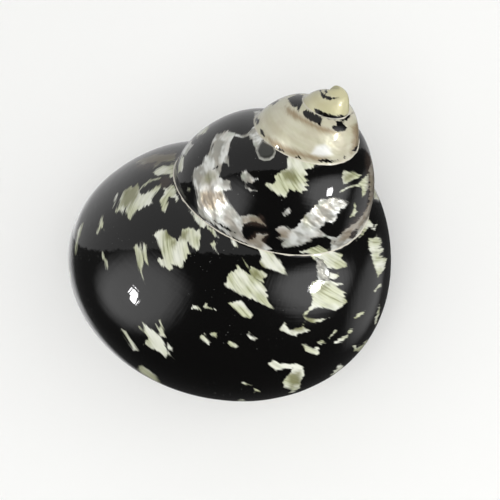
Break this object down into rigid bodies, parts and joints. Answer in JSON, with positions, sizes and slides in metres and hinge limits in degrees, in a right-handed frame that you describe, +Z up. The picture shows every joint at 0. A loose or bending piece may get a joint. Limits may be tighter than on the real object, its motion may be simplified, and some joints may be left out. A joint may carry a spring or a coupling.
{
  "type": "turban shell",
  "caption": "Polished coiled sea shell with a low conical spire, black with cream flame marks and pearly worn patches, lying mouth down on its flat lip.",
  "frame": {"origin": "middle of the footprint's bounding box, on the surface that the shell rests on", "axes": "+Z up; +X to the right and +Y away from the viewer in the picture's view, with the apex pointing to +X, +Y and up"},
  "size_m": [0.0772, 0.0682, 0.0554],
  "materials": {
    "shell": "polished black shell with cream marks and pearly patches under clear lacquer"
  },
  "bodies": {
    "root": {"shell": "shell"}
  },
  "joints": []
}
